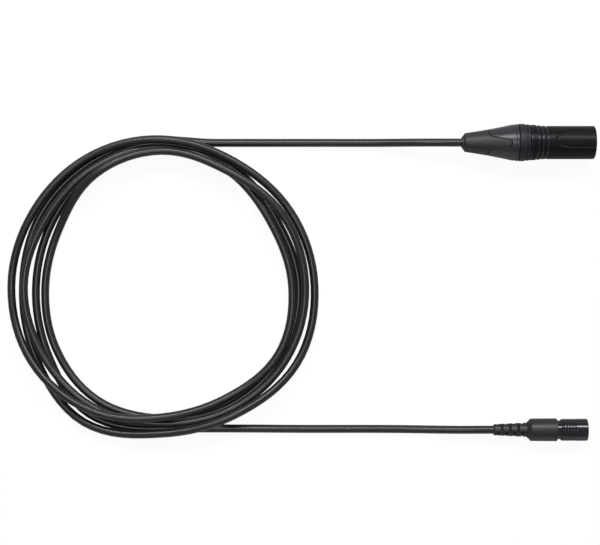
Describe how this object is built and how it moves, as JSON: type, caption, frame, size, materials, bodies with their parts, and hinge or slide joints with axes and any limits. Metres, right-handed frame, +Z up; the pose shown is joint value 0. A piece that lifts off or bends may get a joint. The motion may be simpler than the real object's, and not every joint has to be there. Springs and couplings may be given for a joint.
{
  "type": "coiled audio lead",
  "caption": "Round cable wound into a loose flat coil, with a straight male pin connector on one end and a small round push-pull plug on the other.",
  "frame": {"origin": "centre of the bounding box in plan, on the table", "axes": "+X from the coil to the connectors and out of both mouths, +Y from the small plug to the large connector, +Z up"},
  "size_m": [0.338, 0.1826, 0.0214],
  "materials": {
    "xlr_shell": "satin black finish on a turned metal shell",
    "xlr_insert": "moulded insulator, matt",
    "xlr_clamp": "moulded collet, off-white",
    "xlr_collar_ring": "moulded ring, satin",
    "xlr_boot_shell": "moulded boot, satin",
    "xlr_boot_skin": "soft overmould, matt",
    "xlr_cable_end": "soft cable jacket, satin",
    "cable_coil": "soft cable jacket, satin",
    "cable_tail_xlr": "soft cable jacket, satin",
    "cable_tail_plug": "soft cable jacket, satin",
    "plug_relief": "moulded bend relief, matt",
    "plug_grip": "moulded grip, satin",
    "plug_core_tube": "gloss black plated tube",
    "plug_lock_sleeve": "gloss black plated sleeve",
    "plug_lock_spring": "spring wire",
    "plug_stop_clip": "plain clip",
    "plug_insert": "moulded insulator, matt",
    "plug_ferrule": "plated crimp",
    "plug_cable_end": "soft cable jacket, satin",
    "xlr_core_1": "insulated conductor",
    "xlr_core_2": "insulated conductor",
    "xlr_core_3": "insulated conductor",
    "xlr_core_4": "insulated conductor",
    "xlr_core_5": "insulated conductor",
    "plug_core_1": "insulated conductor",
    "plug_core_2": "insulated conductor",
    "plug_core_3": "insulated conductor",
    "plug_core_4": "insulated conductor",
    "plug_core_5": "insulated conductor",
    "xlr_pin_1": "plated contact pin with a solder cup",
    "xlr_pin_2": "plated contact pin with a solder cup",
    "xlr_pin_3": "plated contact pin with a solder cup",
    "xlr_pin_4": "plated contact pin with a solder cup",
    "xlr_pin_5": "plated contact pin with a solder cup",
    "plug_socket_1": "plated contact socket with a solder cup",
    "plug_socket_2": "plated contact socket with a solder cup",
    "plug_socket_3": "plated contact socket with a solder cup",
    "plug_socket_4": "plated contact socket with a solder cup",
    "plug_socket_5": "plated contact socket with a solder cup"
  },
  "bodies": {
    "cable": {"xlr_shell": "xlr_shell", "xlr_insert": "xlr_insert", "xlr_clamp": "xlr_clamp", "xlr_cable_end": "xlr_cable_end", "cable_coil": "cable_coil", "cable_tail_xlr": "cable_tail_xlr", "cable_tail_plug": "cable_tail_plug", "plug_relief": "plug_relief", "plug_grip": "plug_grip", "plug_core_tube": "plug_core_tube", "plug_lock_spring": "plug_lock_spring", "plug_stop_clip": "plug_stop_clip", "plug_insert": "plug_insert", "plug_ferrule": "plug_ferrule", "plug_cable_end": "plug_cable_end", "xlr_core_1": "xlr_core_1", "xlr_core_2": "xlr_core_2", "xlr_core_3": "xlr_core_3", "xlr_core_4": "xlr_core_4", "xlr_core_5": "xlr_core_5", "plug_core_1": "plug_core_1", "plug_core_2": "plug_core_2", "plug_core_3": "plug_core_3", "plug_core_4": "plug_core_4", "plug_core_5": "plug_core_5", "xlr_pin_1": "xlr_pin_1", "xlr_pin_2": "xlr_pin_2", "xlr_pin_3": "xlr_pin_3", "xlr_pin_4": "xlr_pin_4", "xlr_pin_5": "xlr_pin_5", "plug_socket_1": "plug_socket_1", "plug_socket_2": "plug_socket_2", "plug_socket_3": "plug_socket_3", "plug_socket_4": "plug_socket_4", "plug_socket_5": "plug_socket_5"},
    "collar": {"xlr_collar_ring": "xlr_collar_ring"},
    "boot": {"xlr_boot_shell": "xlr_boot_shell", "xlr_boot_skin": "xlr_boot_skin"},
    "lock": {"plug_lock_sleeve": "plug_lock_sleeve"}
  },
  "joints": [
    {"name": "collar_slide", "type": "slide", "parent": "cable", "child": "collar", "axis": [-1, 0, 0], "range_m": [0, 0.0045]},
    {"name": "boot_turn", "type": "hinge", "parent": "collar", "child": "boot", "pos_m": [0.1254, 0.0804, 0.01068], "axis": [-1, 0, 0], "range_deg": [0, 1080]},
    {"name": "lock_slide", "type": "slide", "parent": "cable", "child": "lock", "axis": [1, 0, 0], "range_m": [-0.0016, 0], "stiffness_N_per_m": 900, "springref_m": 0.0015}
  ],
  "couplings": [
    {"joint": "boot_turn", "follows": "collar_slide", "rad_per_m": 4188.7}
  ]
}
